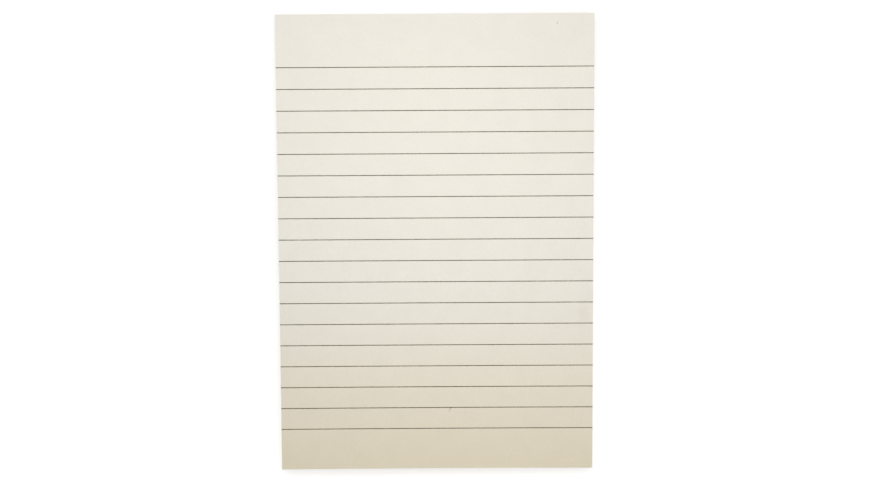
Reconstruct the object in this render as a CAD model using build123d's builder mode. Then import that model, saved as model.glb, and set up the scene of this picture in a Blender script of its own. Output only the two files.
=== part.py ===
"""A pad of ruled sticky notes: a block of notes held along the head edge, on a backing sheet.

The pad lies flat, writing face up. The origin is the centre of the underside, +X runs across the
note, +Y runs up the page to the bonded head edge, and +Z is up.
"""
import os

from build123d import *

# The notes, cut together as one block
note_width = 105.0
note_length = 152.0
note_count = 100
note_thickness = 0.095

# The band of low-tack adhesive on the back of every note, along its head edge
band_length = 20.0
band_thickness = 0.004

# How far the loose ends of the notes rise above the bonded head, in the middle and at the corners
free_edge_lift = 0.7
free_corner_lift = 1.2

# The heavier sheet under the last note
backing_thickness = 0.25

# Places that follow from these sizes
head_edge = note_length / 2
free_edge = -note_length / 2
band_edge = head_edge - band_length
block_base = backing_thickness
bonded_top = block_base + note_count * (note_thickness + band_thickness)

os.makedirs("parts", exist_ok=True)

# The block of notes. Where the adhesive holds them the notes lie flat and tight. Past the band they
# are loose, so the stack loosens and its top curves up to the free edge, most of all at the corners.
# The block is lofted across the page from one side through the middle to the other side.
with BuildPart() as note_sheets:
    for across, lift in (
        (-note_width / 2, free_corner_lift),
        (0, free_edge_lift),
        (note_width / 2, free_corner_lift),
    ):
        with BuildSketch(Plane.YZ.offset(across)):
            with BuildLine():
                head_face = Line((head_edge, block_base), (head_edge, bonded_top))
                held_top = Line(head_face @ 1, (band_edge, bonded_top))
                loose_top = TangentArc(held_top @ 1, (free_edge, bonded_top + lift), tangent=held_top % 1)
                free_face = Line(loose_top @ 1, (free_edge, block_base))
                Line(free_face @ 1, head_face @ 0)
            make_face()
    loft()
note_sheets.part.label = "note_sheets"
export_step(note_sheets.part, "parts/note_sheets.step")

# The backing sheet, trimmed with the notes to the same outline
with BuildPart() as backing_sheet:
    with BuildSketch():
        Rectangle(note_width, note_length)
    extrude(amount=backing_thickness)
backing_sheet.part.label = "backing_sheet"
export_step(backing_sheet.part, "parts/backing_sheet.step")
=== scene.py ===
import math

import bpy
import numpy as np
from mathutils import Matrix, Vector


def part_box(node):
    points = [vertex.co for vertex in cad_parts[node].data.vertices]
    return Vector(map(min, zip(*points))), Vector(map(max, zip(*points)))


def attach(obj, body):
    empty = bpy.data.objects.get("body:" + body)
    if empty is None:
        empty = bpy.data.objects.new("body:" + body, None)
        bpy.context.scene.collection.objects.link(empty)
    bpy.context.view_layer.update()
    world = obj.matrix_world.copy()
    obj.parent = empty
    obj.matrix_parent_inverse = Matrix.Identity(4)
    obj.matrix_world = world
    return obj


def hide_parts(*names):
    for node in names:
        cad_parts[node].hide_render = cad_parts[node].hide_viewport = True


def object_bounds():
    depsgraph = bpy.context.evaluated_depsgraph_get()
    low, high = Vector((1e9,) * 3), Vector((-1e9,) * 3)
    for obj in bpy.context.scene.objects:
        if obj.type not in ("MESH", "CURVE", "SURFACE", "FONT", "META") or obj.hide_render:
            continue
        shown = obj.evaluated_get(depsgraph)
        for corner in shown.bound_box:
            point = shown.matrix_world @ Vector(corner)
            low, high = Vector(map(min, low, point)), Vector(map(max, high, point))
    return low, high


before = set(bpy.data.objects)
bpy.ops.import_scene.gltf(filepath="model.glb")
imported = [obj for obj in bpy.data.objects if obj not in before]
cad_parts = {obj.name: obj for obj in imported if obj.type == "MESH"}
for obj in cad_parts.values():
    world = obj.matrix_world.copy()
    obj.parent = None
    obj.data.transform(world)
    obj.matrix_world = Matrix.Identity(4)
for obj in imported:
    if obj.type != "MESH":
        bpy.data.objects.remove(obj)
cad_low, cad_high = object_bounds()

# Backing sheet
# A pale card, smoother and heavier than the notes, that the last note's adhesive sits on. It was
# trimmed together with the notes to the same outline, and the pad rests on it.
mm = 0.001
backing_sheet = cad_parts["backing_sheet"]
card_colour = (0.74, 0.71, 0.65, 1)


def add_node(tree, kind, inputs=None, **settings):
    """Adds a shader node with its settings, and fills its inputs with values or links."""
    made = tree.nodes.new(kind)
    for name, value in settings.items():
        setattr(made, name, value)
    for name, value in (inputs or {}).items():
        if isinstance(value, bpy.types.NodeSocket):
            tree.links.new(value, made.inputs[name])
        else:
            made.inputs[name].default_value = value
    return made


def add_maths(tree, operation, *values):
    """Adds a Math node on values or links, and gives its result."""
    inputs = dict(enumerate(values))
    return add_node(tree, "ShaderNodeMath", inputs, operation=operation).outputs[0]


def add_scaled(tree, colour, factor):
    """Makes a colour lighter or darker by a factor."""
    inputs = {0: colour, "Scale": factor}
    return add_node(tree, "ShaderNodeVectorMath", inputs, operation="SCALE").outputs[0]


def start_group(name, inputs, outputs):
    """A new shader node group with named sockets, and its input and output nodes."""
    group = bpy.data.node_groups.new(name, "ShaderNodeTree")
    for label, kind in inputs:
        group.interface.new_socket(label, in_out="INPUT", socket_type=kind)
    for label, kind in outputs:
        group.interface.new_socket(label, in_out="OUTPUT", socket_type=kind)
    return group, group.nodes.new("NodeGroupInput"), group.nodes.new("NodeGroupOutput")


def start_material(name):
    """A new material with only a Principled shader: the material, its node tree and the shader."""
    material = bpy.data.materials.new(name)
    material.use_nodes = True
    return material, material.node_tree, material.node_tree.nodes["Principled BSDF"]


# Paper seen close: soft clouds where the pulp lies thicker, fine fibres along the page, and a tooth
cloud_size = 6 * mm
fibre_width = 0.3 * mm
fibre_length = 1.1 * mm
tooth_size = 0.16 * mm
tooth_share = 0.6
noise_low = 0.3
noise_middle = 0.5
noise_high = 0.7
paper_grain, grain_in, grain_out = start_group(
    "paper_grain",
    [
        ("Colour", "NodeSocketColor"),
        ("Cloud Tone", "NodeSocketFloat"),
        ("Fibre Tone", "NodeSocketFloat"),
        ("Smoothest", "NodeSocketFloat"),
        ("Roughest", "NodeSocketFloat"),
    ],
    [
        ("Colour", "NodeSocketColor"),
        ("Roughness", "NodeSocketFloat"),
        ("Height", "NodeSocketFloat"),
    ],
)
place = add_node(paper_grain, "ShaderNodeTexCoord").outputs["Object"]
stretch = (1 / fibre_width, 1 / fibre_length, 1 / fibre_width)
along_page = add_node(
    paper_grain, "ShaderNodeMapping", {"Vector": place, "Scale": stretch}
).outputs[0]


def add_noise(tree, vector, scale, detail):
    """Adds a soft noise, above and below its middle, on those coordinates."""
    inputs = {"Vector": vector, "Scale": scale, "Detail": detail}
    return add_node(tree, "ShaderNodeTexNoise", inputs).outputs["Fac"]


def add_swing(tree, noise, amount, base):
    """Adds that amount of a noise's swing about its middle to a base."""
    swing = add_maths(tree, "SUBTRACT", noise, noise_middle)
    return add_maths(tree, "MULTIPLY_ADD", swing, amount, base)


clouds = add_noise(paper_grain, place, scale=1 / cloud_size, detail=3)
fibres = add_noise(paper_grain, along_page, scale=1, detail=2)
tooth = add_noise(paper_grain, place, scale=1 / tooth_size, detail=2)
shade = add_swing(paper_grain, clouds, grain_in.outputs["Cloud Tone"], 1.0)
shade = add_swing(paper_grain, fibres, grain_in.outputs["Fibre Tone"], shade)
shaded = add_scaled(paper_grain, grain_in.outputs["Colour"], shade)
roughness = add_node(
    paper_grain,
    "ShaderNodeMapRange",
    {
        "Value": fibres,
        "From Min": noise_low,
        "From Max": noise_high,
        "To Min": grain_in.outputs["Smoothest"],
        "To Max": grain_in.outputs["Roughest"],
    },
).outputs["Result"]
relief = add_maths(paper_grain, "MULTIPLY_ADD", tooth, tooth_share, fibres)
paper_grain.links.new(shaded, grain_out.inputs["Colour"])
paper_grain.links.new(roughness, grain_out.inputs["Roughness"])
paper_grain.links.new(relief, grain_out.inputs["Height"])


def add_grain(tree, shader, depth, inputs):
    """Places the paper grain in a material, with a tooth of that depth."""
    grain = add_node(tree, "ShaderNodeGroup", inputs, node_tree=paper_grain)
    bump = add_node(tree, "ShaderNodeBump", {"Height": grain.outputs["Height"], "Distance": depth})
    tree.links.new(grain.outputs["Colour"], shader.inputs["Base Color"])
    tree.links.new(grain.outputs["Roughness"], shader.inputs["Roughness"])
    tree.links.new(bump.outputs["Normal"], shader.inputs["Normal"])


pale_card, tree, shader = start_material("pale_card")
shader.inputs["Specular IOR Level"].default_value = 0.45
add_grain(
    tree,
    shader,
    depth=0.004 * mm,
    inputs={
        "Colour": card_colour,
        "Cloud Tone": 0.05,
        "Fibre Tone": 0.05,
        "Smoothest": 0.42,
        "Roughest": 0.58,
    },
)
backing_sheet.data.materials.clear()
backing_sheet.data.materials.append(pale_card)

# Leaves of the block
# Thin sheets of cream writing paper, cut as one block. A band of low-tack adhesive on the back of
# each holds it flat along the head edge. Past the band the leaves are loose and fan open a little.
block_low, block_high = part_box("note_sheets")
note_count = 100
leaf_thickness = 0.095 * mm
band_length = 20 * mm
corner_lift = 1.2 * mm
middle_lift = 0.7 * mm
head_edge = block_high.y
free_edge = block_low.y
band_edge = head_edge - band_length
half_width = block_high.x
block_base = block_low.z
held_top = block_high.z - corner_lift
cream = (0.845, 0.815, 0.735, 1)
# The warmer cream at the foot is painted warm shade.
shaded_foot_cream = (0.846, 0.761, 0.586, 1)


def loose_share(y):
    """0 where the adhesive holds the notes, and growing to 1 at the free edge."""
    return np.clip((band_edge - y) / (band_edge - free_edge), 0, 1)


def top_of_pad(x, y):
    """Height of the writing face: flat over the adhesive, rising to the free edge and corners."""
    lift = middle_lift + (corner_lift - middle_lift) * (x / half_width) ** 2
    return held_top + lift * loose_share(y) ** 2


def round_the_rim(grid):
    """The values of a grid once round its rim, from the left end of the free edge."""
    return np.concatenate([grid[0], grid[1:, -1], grid[-1, -2::-1], grid[-2:0:-1, 0]])


def closed_sheet(under, over):
    """Points and faces of a sheet between two grids of points: both faces, then the cut edge."""
    rows, columns = under.shape[:2]
    count = rows * columns
    number = np.arange(count).reshape(rows, columns)
    cells = np.stack([number[:-1, :-1], number[:-1, 1:], number[1:, 1:], number[1:, :-1]], -1)
    cells = cells.reshape(-1, 4)
    rim = round_the_rim(number)
    after = np.roll(rim, -1)
    walls = np.stack([rim, after, after + count, rim + count], -1)
    points = np.concatenate([under.reshape(-1, 3), over.reshape(-1, 3)])
    return points, np.concatenate([cells[:, ::-1], cells + count, walls])


def add_sheets(name, sheets, material):
    """One mesh object of closed sheets, which rides with the pad."""
    points, faces, start = [], [], 0
    for sheet_points, sheet_faces in sheets:
        points.append(sheet_points)
        faces.append(sheet_faces + start)
        start += len(sheet_points)
    mesh = bpy.data.meshes.new(name)
    mesh.from_pydata(np.concatenate(points).tolist(), [], np.concatenate(faces).tolist())
    mesh.materials.append(material)
    made = bpy.data.objects.new(name, mesh)
    bpy.context.scene.collection.objects.link(made)
    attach(made, "root")
    return made


# Cream paper, turned warmer towards the free end of the page by painted warm shade
tone_start = -5.5 * mm
tone_end = -90 * mm
page_tone_and_shade, tone_in, tone_out = start_group(
    "page_tone_and_shade",
    [("Head", "NodeSocketColor"), ("Foot", "NodeSocketColor")],
    [("Colour", "NodeSocketColor")],
)


def add_place(tree):
    """The place on the pad, as separate X, Y and Z."""
    place = add_node(tree, "ShaderNodeTexCoord").outputs["Object"]
    return add_node(tree, "ShaderNodeSeparateXYZ", {0: place}).outputs


def add_mix(tree, factor, first, second):
    """Mixes two colours. A Mix node's colour sockets share their names, so they go by number."""
    inputs = {0: factor, 6: first, 7: second}
    return add_node(tree, "ShaderNodeMix", inputs, data_type="RGBA").outputs[2]


towards_foot = add_node(
    page_tone_and_shade,
    "ShaderNodeMapRange",
    {"Value": add_place(page_tone_and_shade)["Y"], "From Min": tone_start, "From Max": tone_end},
    interpolation_type="SMOOTHSTEP",
).outputs["Result"]
toned = add_mix(page_tone_and_shade, towards_foot, tone_in.outputs["Head"], tone_in.outputs["Foot"])
page_tone_and_shade.links.new(toned, tone_out.inputs["Colour"])


def add_page_tone(tree):
    """The cream of the paper at each place on the page, with painted warm shade towards the foot.
    """
    ends = {"Head": cream, "Foot": shaded_foot_cream}
    return add_node(tree, "ShaderNodeGroup", ends, node_tree=page_tone_and_shade).outputs[0]


# The ruling runs off both long edges, so its ink shows on the cut sides as faint upright lines.
# Each leaf was printed a little higher or lower than the next, which makes those lines ragged.
line_count = 18
first_line = 17.3 * mm
line_pitch = 7.115 * mm
line_width = 0.26 * mm
ink_colour = (0.09, 0.071, 0.03, 1)
side_ink = 0.16
half_turned = 0.7
leaf_paper, tree, shader = start_material("leaf_paper")
shader.inputs["Specular IOR Level"].default_value = 0.25
normal = add_node(tree, "ShaderNodeNewGeometry").outputs["True Normal"]
facing = add_node(tree, "ShaderNodeSeparateXYZ", {0: normal}).outputs
on_side = add_maths(tree, "GREATER_THAN", add_maths(tree, "ABSOLUTE", facing["X"]), half_turned)
on_cut = add_maths(tree, "LESS_THAN", add_maths(tree, "ABSOLUTE", facing["Z"]), half_turned)
print_shift = add_node(tree, "ShaderNodeAttribute", attribute_name="print_shift").outputs["Fac"]
leaf_place = add_maths(tree, "SUBTRACT", add_place(tree)["Y"], print_shift)
down_page = add_maths(tree, "SUBTRACT", head_edge - first_line, leaf_place)
line_number = add_maths(tree, "DIVIDE", down_page, line_pitch)
nearest = add_maths(tree, "ROUND", line_number)
off_line = add_maths(tree, "ABSOLUTE", add_maths(tree, "SUBTRACT", line_number, nearest))
on_line = add_maths(tree, "LESS_THAN", off_line, line_width / line_pitch)
ruled = add_maths(tree, "COMPARE", nearest, (line_count - 1) / 2, line_count / 2)
ink_end = add_maths(tree, "MULTIPLY", add_maths(tree, "MULTIPLY", on_side, on_line), ruled)
leaf_tone = add_node(tree, "ShaderNodeAttribute", attribute_name="leaf_tone").outputs["Fac"]
off_tone = add_maths(tree, "SUBTRACT", leaf_tone, 1.0)
cut_tone = add_maths(tree, "MULTIPLY_ADD", off_tone, on_cut, 1.0)
# The cut edges carry the same painted warm shade towards the foot.
leaf_colour = add_scaled(tree, add_page_tone(tree), cut_tone)
inked = add_mix(tree, add_maths(tree, "MULTIPLY", ink_end, side_ink), leaf_colour, ink_colour)
add_grain(
    tree,
    shader,
    depth=0.012 * mm,
    inputs={
        "Colour": inked,
        "Cloud Tone": 0.05,
        "Fibre Tone": 0.16,
        "Smoothest": 0.84,
        "Roughest": 0.96,
    },
)

# Each leaf keeps its thickness, and the air that the block has to spare lies in uneven, wavy gaps,
# the widest of them under the last leaves
seed = 11
leaf_columns = 13
leaf_rows = 23
shortest_wave = 60 * mm
longest_wave = 170 * mm
wave_share = 0.6
gap_spread = 1.25
last_gaps = (6, 12, 36)
random = np.random.default_rng(seed)
across = np.linspace(-half_width, half_width, leaf_columns)
along = np.linspace(free_edge, head_edge, leaf_rows)
x, y = np.meshgrid(across, along)
leaf = np.arange(note_count)
wave_length = random.uniform(shortest_wave, longest_wave, note_count)
wave_start = random.uniform(0, 2 * math.pi, note_count)
gap_size = random.lognormal(0, gap_spread, note_count)
gap_size[-len(last_gaps):] = last_gaps
waves = np.sin(2 * math.pi * x / wave_length[:, None, None] + wave_start[:, None, None])
gaps = gap_size[:, None, None] * (1 + wave_share * waves)
gaps /= gaps.sum(axis=0)
opening = np.sqrt(loose_share(y))
gaps = 1 / note_count + (gaps - 1 / note_count) * opening
air = top_of_pad(x, y) - block_base - note_count * leaf_thickness
undersides = block_base + leaf_thickness * leaf[:, None, None] + air * np.cumsum(gaps, axis=0)

# Whole bunches of leaves slid a little in the cutting, and each leaf slid and turned a little too.
# The leaves are cut back by the trim, which keeps them inside the block's outline.
trim = 0.16 * mm
bunch_leaves = 12
bunch_slide = 0.07 * mm
leaf_slide = 0.025 * mm
leaf_turn = math.radians(0.022)
bunch_tone_spread = 0.02
leaf_tone_spread = 0.03
print_spread = 0.12 * mm
bunch = np.arange(0, note_count + bunch_leaves, bunch_leaves)
slides = random.uniform(-bunch_slide, bunch_slide, (2, len(bunch)))
slide_x = np.interp(leaf, bunch, slides[0])
slide_x += random.uniform(-leaf_slide, leaf_slide, note_count)
slide_y = np.interp(leaf, bunch, slides[1])
slide_y += random.uniform(-leaf_slide, leaf_slide, note_count)
turn = random.uniform(-leaf_turn, leaf_turn, note_count)
bunch_tone = np.interp(leaf, bunch, random.normal(0, bunch_tone_spread, len(bunch)))
tones = 1.0 + bunch_tone + random.normal(0, leaf_tone_spread, note_count)
print_shifts = random.normal(0, print_spread, note_count)

trimmed_x = x * (1 - trim / half_width)
trimmed_y = y * (1 - trim / head_edge)
inner_leaves = []
for number in leaf[:-1]:
    leaf_x = trimmed_x + slide_x[number] + turn[number] * (head_edge - y)
    leaf_y = trimmed_y + slide_y[number]
    under = np.stack([leaf_x, leaf_y, undersides[number]], -1)
    over = under + np.array([0, 0, leaf_thickness])
    inner_leaves.append(closed_sheet(under, over))
note_leaves = add_sheets("note_leaves", inner_leaves, leaf_paper)
for label, values in (("leaf_tone", tones), ("print_shift", print_shifts)):
    layer = note_leaves.data.attributes.new(label, "FLOAT", "POINT")
    layer.data.foreach_set("value", np.repeat(values[:-1], 2 * x.size).astype(np.float32))

# Only the cut edges of the leaves show, so on the texture map the edge of each leaf has a strip of
# its own, and the covered faces of all the leaves share one low field.
page_field = 0.12
strip_height = (1 - page_field) / len(inner_leaves)
strip_margin = 0.1 * strip_height
field_across = np.linspace(0, 1, leaf_columns)
field_up = np.linspace(0, page_field - strip_margin, leaf_rows)
page_places = np.stack(np.meshgrid(field_across, field_up), -1).reshape(-1, 2)
rim_points = round_the_rim(np.stack([x, y], -1))
rim_steps = np.linalg.norm(np.roll(rim_points, -1, axis=0) - rim_points, axis=1)
rim_ends = np.cumsum(rim_steps) / rim_steps.sum()
rim_starts = rim_ends - rim_steps / rim_steps.sum()
strip_across = np.stack([rim_starts, rim_ends, rim_ends, rim_starts], -1)
map_places = []
for number, (_, faces) in enumerate(inner_leaves):
    low = page_field + number * strip_height + strip_margin
    high = low + strip_height - 2 * strip_margin
    strip_up = np.tile([low, low, high, high], (len(rim_points), 1))
    map_places.append(page_places[faces[: -len(rim_points)] % x.size].reshape(-1, 2))
    map_places.append(np.stack([strip_across, strip_up], -1).reshape(-1, 2))
texture_map = note_leaves.data.uv_layers.new(name="OFBake")
texture_map.uv.foreach_set("vector", np.concatenate(map_places).astype(np.float32).ravel())
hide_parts("note_sheets")

# Top note
# The note that is written on, of the same cream paper as the leaves. It lies flat over its adhesive
# and lifts a little towards the free edge. A faint darker, browner patch lies by its right edge.
top_columns = 43
top_rows = 62
crease_angle = math.radians(30)
top_across = np.linspace(-half_width, half_width, top_columns)
top_along = np.linspace(free_edge, head_edge, top_rows)
x, y = np.meshgrid(top_across, top_along)
over = np.stack([x, y, top_of_pad(x, y)], -1)
under = over - np.array([0, 0, leaf_thickness])

# The patch fades out at its reach across and along the page. Its reach in height is so great that
# the height of the paper makes no difference.
patch_place = (49.4 * mm, -23.9 * mm, 0)
patch_reach = (3.7 * mm, 7.4 * mm, 1)
patch_strength = 0.11
patch_colour = (0.51, 0.41, 0.18, 1)
writing_paper, tree, shader = start_material("writing_paper")
shader.inputs["Specular IOR Level"].default_value = 0.25
page = add_node(tree, "ShaderNodeTexCoord").outputs["Object"]
from_patch = add_node(
    tree,
    "ShaderNodeMapping",
    {"Vector": page, "Location": patch_place, "Scale": patch_reach},
    vector_type="TEXTURE",
).outputs[0]
off_patch = add_node(
    tree, "ShaderNodeVectorMath", {0: from_patch}, operation="LENGTH"
).outputs["Value"]
# How much of the darker, browner patch colour lies at each place by the right edge.
in_patch = add_node(
    tree,
    "ShaderNodeMapRange",
    {"Value": off_patch, "From Min": 1.0, "From Max": 0.0, "To Max": patch_strength},
    interpolation_type="SMOOTHSTEP",
).outputs["Result"]
# The page colour carries the painted warm shade towards the foot.
page_colour = add_mix(tree, in_patch, add_page_tone(tree), patch_colour)
add_grain(
    tree,
    shader,
    depth=0.012 * mm,
    inputs={
        "Colour": page_colour,
        "Cloud Tone": 0.06,
        "Fibre Tone": 0.1,
        "Smoothest": 0.82,
        "Roughest": 0.94,
    },
)
top_note = add_sheets("top_note", [closed_sheet(under, over)], writing_paper)
top_note.data.set_sharp_from_angle(angle=crease_angle)
top_note.data.shade_smooth()
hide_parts("note_sheets")

# Ruled lines
# Thin lines of dark, brownish ink printed across the whole note, from one long edge to the other.
# The ink is a film on the paper, with slightly rough edges where it crept along the fibres.
ink_depth = 0.01 * mm
ink_height = 0.01 * mm
edge_creep = 0.008 * mm
station_count = 211
ruling_ink, tree, shader = start_material("ruling_ink")
shader.inputs["Specular IOR Level"].default_value = 0.3
add_grain(
    tree,
    shader,
    depth=0.003 * mm,
    inputs={
        "Colour": ink_colour,
        "Cloud Tone": 0.9,
        "Fibre Tone": 0.9,
        "Smoothest": 0.6,
        "Roughest": 0.8,
    },
)


def ink_film(x, y):
    """A closed film of ink on the writing face, over a grid of places."""
    face = top_of_pad(x, y)
    under = np.stack([x, y, face - ink_depth], -1)
    over = np.stack([x, y, face + ink_height], -1)
    return closed_sheet(under, over)


stations = np.linspace(-half_width, half_width, station_count)
lines = []
for number in range(line_count):
    middle = head_edge - first_line - number * line_pitch
    creep = random.normal(0, edge_creep, (2, station_count))
    edges = middle + np.array([[-line_width / 2], [line_width / 2]]) + creep
    lines.append(ink_film(np.tile(stations, (2, 1)), edges))
add_sheets("ruled_lines", lines, ruling_ink)

# Specks
# Two flaws in the sheet: a dark fleck in the paper by the head edge, and a short stray stroke of
# ink that hangs from a line near the foot. Both are films on the writing face, like the lines.
fleck_ends = np.array([[40.25, 72.56], [40.25, 72.96]]) * mm
fleck_widths = np.array([0.04, 0.17, 0.21, 0.17, 0.04]) * mm
stroke_ends = np.array([[4.65, -55.14], [4.17, -56.55]]) * mm
stroke_widths = np.array([0.19, 0.14, 0.09, 0.09, 0.05]) * mm


def speck(ends, widths):
    """A small closed stroke from one end to the other, as wide at each step as the widths say."""
    steps = np.linspace(0, 1, len(widths))
    middle = ends[0] + steps[:, None] * (ends[1] - ends[0])
    way = (ends[1] - ends[0]) / np.linalg.norm(ends[1] - ends[0])
    side = np.array([-way[1], way[0]]) * widths[:, None] / 2
    edges = np.stack([middle - side, middle + side])
    return ink_film(edges[..., 0], edges[..., 1])


fleck = speck(fleck_ends, fleck_widths)
stroke = speck(stroke_ends, stroke_widths)
add_sheets("specks", [fleck, stroke], ruling_ink)

# Light
# A room light that comes mostly from the sides, and a soft lamp over the upper half of the page, so
# that the foot is dimmer.
horizon_light = 0.9
zenith_light = 0.09
white = (1, 1, 1, 1)
room = bpy.data.worlds.new("room")
bpy.context.scene.world = room
room.use_nodes = True
tree = room.node_tree
background = tree.nodes["Background"]
background.inputs["Color"].default_value = white


def add_seen_directly(tree):
    """1 for the camera, a mirror or a pane of glass, and 0 for the light that falls on the pad."""
    path = add_node(tree, "ShaderNodeLightPath").outputs
    seen = add_maths(tree, "MAXIMUM", path["Is Camera Ray"], path["Is Glossy Ray"])
    return add_maths(tree, "MAXIMUM", seen, path["Is Transmission Ray"])


way = add_node(tree, "ShaderNodeTexCoord").outputs["Generated"]
height = add_node(tree, "ShaderNodeSeparateXYZ", {0: way}).outputs["Z"]
room_light = add_node(
    tree,
    "ShaderNodeMapRange",
    {"Value": height, "To Min": horizon_light, "To Max": zenith_light},
).outputs["Result"]
strength = add_node(
    tree,
    "ShaderNodeMapRange",
    {"Value": add_seen_directly(tree), "To Min": room_light, "To Max": 1.0},
).outputs["Result"]
tree.links.new(strength, background.inputs["Strength"])

lamp_place = Vector((3, 44, 235)) * mm
lamp_width = 230 * mm
lamp_depth = 90 * mm
lamp_turn = math.radians(-30)
lamp_power = 0.383
lamp_colour = (1, 0.994, 0.982)
lamp_light = bpy.data.lights.new("lamp", "AREA")
lamp_light.shape = "ELLIPSE"
lamp_light.size = lamp_width
lamp_light.size_y = lamp_depth
lamp_light.energy = lamp_power
lamp_light.color = lamp_colour
lamp = bpy.data.objects.new("lamp", lamp_light)
lamp.location = lamp_place
lamp.rotation_euler.z = lamp_turn
lamp.visible_camera = False
bpy.context.scene.collection.objects.link(lamp)

# Table
# A plain white surface under the pad, which takes its shadow and fills the background. A glow that
# is seen but lights nothing makes up for the light that the table lacks further from the lamp, so
# it is white all over.
table_size = 6.0
table_colour = (0.85, 0.85, 0.85, 1)
floor_gap = 0.02 * mm
white_level = 1.17
room_on_table = 0.306
lamp_on_table = 0.527
lamp_reach = 260 * mm
falloff_power = -2.0
half_table = table_size / 2
corner_ways = ((-1, -1), (1, -1), (1, 1), (-1, 1))
table_corners = [(half_table * side, half_table * end, 0) for side, end in corner_ways]
table_mesh = bpy.data.meshes.new("table")
table_mesh.from_pydata(table_corners, [], [(0, 1, 2, 3)])
table = bpy.data.objects.new("table", table_mesh)
table.location.z = cad_low.z - floor_gap
bpy.context.scene.collection.objects.link(table)
table_top = bpy.data.materials.new("table_top")
table_top.use_nodes = True
tree = table_top.node_tree
tree.nodes.remove(tree.nodes["Principled BSDF"])
place = add_node(tree, "ShaderNodeTexCoord").outputs["Object"]
under_lamp = (lamp_place.x, lamp_place.y, 0)
distance = add_node(
    tree, "ShaderNodeVectorMath", {0: place, 1: under_lamp}, operation="DISTANCE"
).outputs["Value"]
reach = add_maths(tree, "DIVIDE", distance, lamp_reach)
spread = add_maths(tree, "MULTIPLY_ADD", reach, reach, 1.0)
falloff = add_maths(tree, "POWER", spread, falloff_power)
lacking = add_maths(tree, "MULTIPLY_ADD", falloff, -lamp_on_table, white_level - room_on_table)
lift = add_maths(tree, "MULTIPLY", add_seen_directly(tree), lacking)
matt = add_node(tree, "ShaderNodeBsdfDiffuse", {"Color": table_colour})
glow = add_node(tree, "ShaderNodeEmission", {"Color": white, "Strength": lift})
both = add_node(tree, "ShaderNodeAddShader", {0: matt.outputs[0], 1: glow.outputs[0]})
tree.links.new(both.outputs[0], tree.nodes["Material Output"].inputs["Surface"])
table_mesh.materials.append(table_top)

# Camera
# It looks almost straight down on the page, tilted a few degrees and turned by a third of a degree.
picture_width = 870
focal_pixels = 1050
sensor = 36.0
camera_height = 350.5 * mm
camera_tilt = math.radians(4.59)
camera_lean = math.radians(0.05)
camera_roll = math.radians(0.334)
off_centre = Vector((0.32, -0.01, 0)) * mm
nearest_seen = 10 * mm
camera_data = bpy.data.cameras.new("camera")
camera_data.sensor_width = sensor
camera_data.lens = focal_pixels * sensor / picture_width
camera_data.clip_start = nearest_seen
camera = bpy.data.objects.new("camera", camera_data)
page_middle = Matrix.Translation((0, 0, held_top))
facing_page = (
    Matrix.Rotation(-camera_tilt, 4, "X")
    @ Matrix.Rotation(-camera_lean, 4, "Y")
    @ Matrix.Rotation(-camera_roll, 4, "Z")
)
above_page = Matrix.Translation(Vector((0, 0, camera_height)) - off_centre)
camera.matrix_world = page_middle @ facing_page @ above_page
bpy.context.scene.collection.objects.link(camera)
bpy.context.scene.camera = camera
bpy.context.scene.view_settings.view_transform = "Standard"
